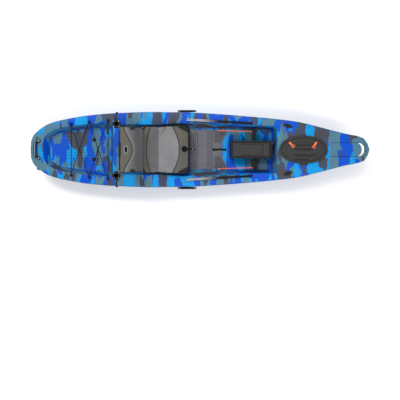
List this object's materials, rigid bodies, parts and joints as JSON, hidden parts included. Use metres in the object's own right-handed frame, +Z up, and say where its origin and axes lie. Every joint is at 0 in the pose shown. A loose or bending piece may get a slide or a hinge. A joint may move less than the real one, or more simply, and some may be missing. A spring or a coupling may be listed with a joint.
{
  "type": "sit-on-top fishing kayak",
  "caption": "Long sit-on-top fishing kayak with a framed folding seat, rear tank well, hinged bow hatch, lift-out console, sliding foot braces and carry handles.",
  "frame": {"origin": "under the middle of the hull, level with the lowest part of the keel", "axes": "+X towards the bow, +Y to port, +Z up"},
  "size_m": [4.115, 0.9794, 0.8213],
  "materials": {
    "hull": "satin moulded polyethylene, mottled in two blues and two greys",
    "pad": "matte grooved foam",
    "alloy": "black anodised",
    "black_plastic": "fine grained",
    "lid_plastic": "fine grained, satin",
    "rubber": "matte",
    "webbing": "woven webbing",
    "cord": "braided sheath",
    "tube": "black powder coat",
    "seat_fabric": "open mesh and woven panels",
    "orange": "satin",
    "steel": "satin",
    "insert": "satin"
  },
  "bodies": {
    "hull": {"hull_shell": "hull", "deck_pad": "pad", "port_gear_track": "alloy", "starboard_gear_track": "alloy", "port_rod_holder": "black_plastic", "starboard_rod_holder": "black_plastic", "tank_well_bungee": "cord", "bungee_pad_eyes": "black_plastic", "stern_handle": "rubber", "stern_handle_bolts": "steel", "rudder_mount": "insert", "skid_plate": "insert", "hatch_rim": "black_plastic", "hatch_gasket": "rubber", "hatch_tub": "black_plastic", "hatch_hinge_pin": "steel", "bow_cleats": "rubber", "paddle_hooks": "rubber", "side_handle_anchors": "black_plastic", "port_foot_track": "black_plastic", "starboard_foot_track": "black_plastic", "seat_sockets": "black_plastic", "stand_assist_strap": "webbing", "drain_plug_seal": "rubber", "deck_screws": "steel"},
    "hatch_lid_body": {"hatch_lid": "lid_plastic"},
    "rear_latch": {"rear_hatch_latch": "orange"},
    "front_latch": {"front_hatch_latch": "orange"},
    "console": {"console_box": "black_plastic", "console_gasket": "rubber", "console_hinge_pin": "steel"},
    "console_lid_body": {"console_lid": "lid_plastic"},
    "seat": {"seat_legs": "tube", "seat_pan_frame": "tube", "seat_pan_sling": "seat_fabric", "seat_corner_caps": "black_plastic", "seat_pull_strap": "webbing", "seat_pivot_pins": "steel", "port_recline_strap": "webbing", "starboard_recline_strap": "webbing", "recline_buckles": "black_plastic"},
    "seat_back": {"seat_back_frame": "tube", "seat_back_sling": "seat_fabric", "seat_back_grip": "rubber"},
    "port_foot_brace": {"port_foot_pedal": "black_plastic", "port_adjuster_rod": "orange"},
    "starboard_foot_brace": {"starboard_foot_pedal": "black_plastic", "starboard_adjuster_rod": "orange"},
    "port_side_handle": {"port_handle_strap": "webbing", "port_handle_grip": "rubber"},
    "starboard_side_handle": {"starboard_handle_strap": "webbing", "starboard_handle_grip": "rubber"},
    "drain_plug_body": {"drain_plug": "black_plastic"},
    "port_plug": {"port_scupper_plug": "rubber"},
    "starboard_plug": {"starboard_scupper_plug": "rubber"}
  },
  "joints": [
    {"name": "hatch_lid_hinge", "type": "hinge", "parent": "hull", "child": "hatch_lid_body", "pos_m": [1.242, -0.178, 0.4194], "axis": [1, 0, 0], "range_deg": [0, 110]},
    {"name": "rear_latch_turn", "type": "hinge", "parent": "hatch_lid_body", "child": "rear_latch", "pos_m": [1.076, 0.08, 0.4144], "axis": [0, 0, 1], "range_deg": [-90, 0]},
    {"name": "front_latch_turn", "type": "hinge", "parent": "hatch_lid_body", "child": "front_latch", "pos_m": [1.388, 0.08, 0.4144], "axis": [0, 0, 1], "range_deg": [0, 90]},
    {"name": "console_lift", "type": "slide", "parent": "hull", "child": "console", "axis": [0, 0, 1], "range_m": [0, 0.28]},
    {"name": "console_lid_hinge", "type": "hinge", "parent": "console", "child": "console_lid_body", "pos_m": [0.873, 0, 0.372], "axis": [0, 1, 0], "range_deg": [0, 100]},
    {"name": "seat_lift", "type": "slide", "parent": "hull", "child": "seat", "axis": [0, 0, 1], "range_m": [0, 0.2]},
    {"name": "seat_back_fold", "type": "hinge", "parent": "seat", "child": "seat_back", "pos_m": [-0.69, 0, 0.422], "axis": [0, 1, 0], "range_deg": [0, 84], "deforming": ["port_recline_strap", "starboard_recline_strap"]},
    {"name": "port_foot_brace_slide", "type": "slide", "parent": "hull", "child": "port_foot_brace", "axis": [1, 0, 0], "range_m": [-0.11, 0.11]},
    {"name": "starboard_foot_brace_slide", "type": "slide", "parent": "hull", "child": "starboard_foot_brace", "axis": [1, 0, 0], "range_m": [-0.11, 0.11]},
    {"name": "port_side_handle_swing", "type": "hinge", "parent": "hull", "child": "port_side_handle", "pos_m": [-0.158, 0.47571, 0.33594], "axis": [1, 0, 0], "range_deg": [0, 110]},
    {"name": "starboard_side_handle_swing", "type": "hinge", "parent": "hull", "child": "starboard_side_handle", "pos_m": [-0.158, -0.47571, 0.33594], "axis": [-1, 0, 0], "range_deg": [0, 110]},
    {"name": "drain_plug_turn", "type": "hinge", "parent": "hull", "child": "drain_plug_body", "pos_m": [-1.967, -0.2283, 0.336], "axis": [-0.6633, -0.7484, 0], "continuous": true},
    {"name": "port_scupper_plug_pull", "type": "slide", "parent": "hull", "child": "port_plug", "axis": [0, 0, 1], "range_m": [0, 0.08]},
    {"name": "starboard_scupper_plug_pull", "type": "slide", "parent": "hull", "child": "starboard_plug", "axis": [0, 0, 1], "range_m": [0, 0.08]}
  ]
}
